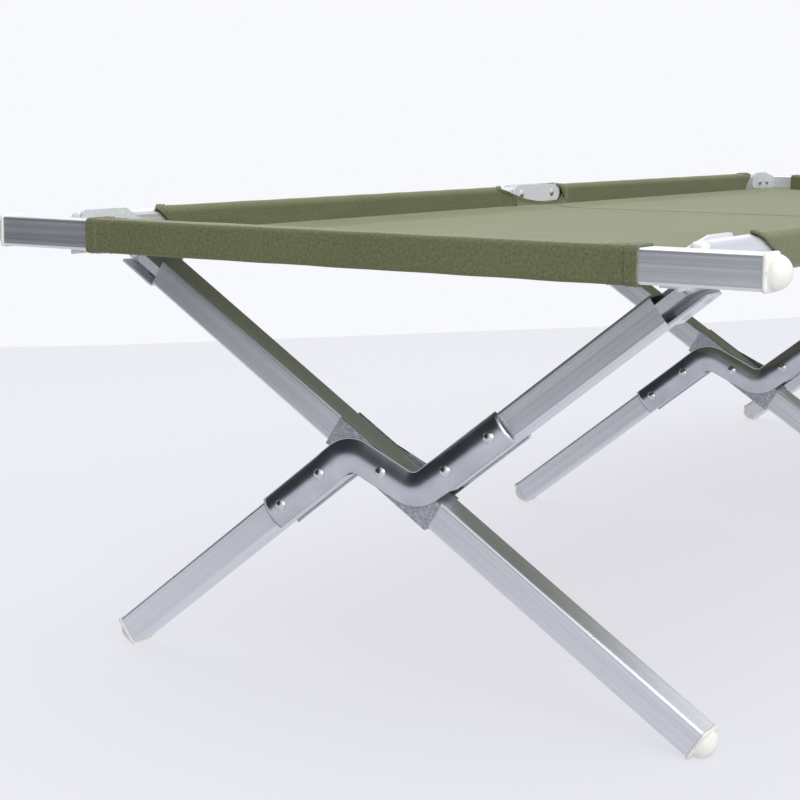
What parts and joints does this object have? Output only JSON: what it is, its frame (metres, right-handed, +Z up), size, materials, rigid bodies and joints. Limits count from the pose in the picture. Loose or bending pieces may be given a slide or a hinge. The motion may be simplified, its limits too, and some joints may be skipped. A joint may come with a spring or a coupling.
{
  "type": "folding cot",
  "caption": "Folding camp cot: sewn sheet on two hinged tube rails and end bars, carried by scissor leg frames that close sideways.",
  "frame": {"origin": "floor, under the middle of the bed", "axes": "+X across the bed to the right rail seen from the front end, +Y along the rails from the front end bar to the back one, +Z up"},
  "size_m": [0.8, 1.891, 0.441],
  "materials": {
    "aluminium_tube": "satin mill finish with fine lines along the tube",
    "bright_steel": "smooth pressed and zinc plated",
    "galvanised_steel": "hot-dip zinc with spangle",
    "zinc_plate": "dull zinc plate",
    "rivet_steel": "bright domed head",
    "white_plastic": "glossy moulded ivory white",
    "olive_cloth": "plain-woven coated cloth"
  },
  "bodies": {
    "left_front": {"rail_left_front": "aluminium_tube", "rail_plug_left_front": "white_plastic", "corner_plate_left_front": "zinc_plate", "leg_hangers_left_front": "zinc_plate", "rail_rivets_left_front": "rivet_steel", "side_sleeve_left_front": "olive_cloth", "bed_sheet_front": "olive_cloth"},
    "left_back": {"rail_left_back": "aluminium_tube", "rail_plug_left_back": "white_plastic", "corner_plate_left_back": "zinc_plate", "leg_hangers_left_back": "zinc_plate", "rail_rivets_left_back": "rivet_steel", "side_sleeve_left_back": "olive_cloth", "bed_sheet_back": "olive_cloth"},
    "left_link": {"rail_hinge_plates_left": "zinc_plate", "rail_hinge_pins_left": "rivet_steel", "seam_band": "olive_cloth"},
    "right_front": {"rail_right_front": "aluminium_tube", "rail_plug_right_front": "white_plastic", "corner_plate_right_front": "zinc_plate", "leg_hangers_right_front": "zinc_plate", "rail_rivets_right_front": "rivet_steel", "side_sleeve_right_front": "olive_cloth"},
    "right_back": {"rail_right_back": "aluminium_tube", "rail_plug_right_back": "white_plastic", "corner_plate_right_back": "zinc_plate", "leg_hangers_right_back": "zinc_plate", "rail_rivets_right_back": "rivet_steel", "side_sleeve_right_back": "olive_cloth"},
    "right_link": {"rail_hinge_plates_right": "zinc_plate", "rail_hinge_pins_right": "rivet_steel"},
    "front_bar": {"end_bar_front": "aluminium_tube", "end_bar_caps_front": "white_plastic", "end_sleeve_front": "olive_cloth"},
    "legs_a_front": {"straight_legs_front": "aluminium_tube", "leg_saddles_front": "galvanised_steel", "straight_leg_brackets_front": "zinc_plate", "straight_leg_rivets_front": "rivet_steel", "straight_leg_feet_front": "white_plastic"},
    "legs_b_front": {"crank_lower_tubes_front": "aluminium_tube", "crank_upper_tubes_front": "aluminium_tube", "crank_links_front": "bright_steel", "crank_leg_brackets_front": "zinc_plate", "crank_leg_rivets_front": "rivet_steel", "crank_leg_feet_front": "white_plastic"},
    "back_bar": {"end_bar_back": "aluminium_tube", "end_bar_caps_back": "white_plastic", "end_sleeve_back": "olive_cloth"},
    "legs_a_back": {"straight_legs_back": "aluminium_tube", "leg_saddles_back": "galvanised_steel", "straight_leg_brackets_back": "zinc_plate", "straight_leg_rivets_back": "rivet_steel", "straight_leg_feet_back": "white_plastic"},
    "legs_b_back": {"crank_lower_tubes_back": "aluminium_tube", "crank_upper_tubes_back": "aluminium_tube", "crank_links_back": "bright_steel", "crank_leg_brackets_back": "zinc_plate", "crank_leg_rivets_back": "rivet_steel", "crank_leg_feet_back": "white_plastic"}
  },
  "joints": [
    {"name": "scissor", "type": "hinge", "parent": "legs_a_front", "child": "legs_b_front", "pos_m": [0, -0.8467, 0.212], "axis": [0, -1, 0], "range_deg": [0, 100], "deforming": ["bed_sheet_front", "bed_sheet_back", "seam_band", "end_sleeve_front", "end_sleeve_back"]},
    {"name": "straight_leg_hinge_front", "type": "hinge", "parent": "left_front", "child": "legs_a_front", "pos_m": [-0.293, -0.8467, 0.399], "axis": [0, 1, 0], "range_deg": [0, 50]},
    {"name": "right_rail_hinge", "type": "hinge", "parent": "legs_b_front", "child": "right_front", "pos_m": [0.293, -0.8467, 0.399], "axis": [0, 1, 0], "range_deg": [0, 50]},
    {"name": "rail_fold", "type": "hinge", "parent": "left_link", "child": "left_front", "pos_m": [-0.32, -0.0355, 0.429], "axis": [-1, 0, 0], "range_deg": [0, 90]},
    {"name": "left_rail_fold_back", "type": "hinge", "parent": "left_link", "child": "left_back", "pos_m": [-0.32, 0.0515, 0.429], "axis": [1, 0, 0], "range_deg": [0, 90]},
    {"name": "right_rail_fold_front", "type": "hinge", "parent": "right_front", "child": "right_link", "pos_m": [0.32, -0.0355, 0.429], "axis": [1, 0, 0], "range_deg": [0, 90]},
    {"name": "right_rail_fold_back", "type": "hinge", "parent": "right_link", "child": "right_back", "pos_m": [0.32, 0.0515, 0.429], "axis": [1, 0, 0], "range_deg": [0, 90]},
    {"name": "straight_leg_hinge_back", "type": "hinge", "parent": "left_back", "child": "legs_a_back", "pos_m": [-0.293, 0.8467, 0.399], "axis": [0, 1, 0], "range_deg": [0, 50]},
    {"name": "scissor_back", "type": "hinge", "parent": "legs_a_back", "child": "legs_b_back", "pos_m": [0, 0.8467, 0.212], "axis": [0, -1, 0], "range_deg": [0, 100]},
    {"name": "front_bar_slide", "type": "slide", "parent": "left_front", "child": "front_bar", "axis": [0, -1, 0], "range_m": [0, 0.04]},
    {"name": "back_bar_slide", "type": "slide", "parent": "left_back", "child": "back_bar", "axis": [0, 1, 0], "range_m": [0, 0.04]}
  ],
  "couplings": [
    {"joint": "straight_leg_hinge_front", "follows": "scissor", "ratio": 0.5},
    {"joint": "right_rail_hinge", "follows": "scissor", "ratio": 0.5},
    {"joint": "straight_leg_hinge_back", "follows": "scissor", "ratio": 0.5},
    {"joint": "scissor_back", "follows": "scissor", "ratio": 1},
    {"joint": "left_rail_fold_back", "follows": "rail_fold", "ratio": 1},
    {"joint": "right_rail_fold_front", "follows": "rail_fold", "ratio": 1},
    {"joint": "right_rail_fold_back", "follows": "rail_fold", "ratio": 1}
  ]
}
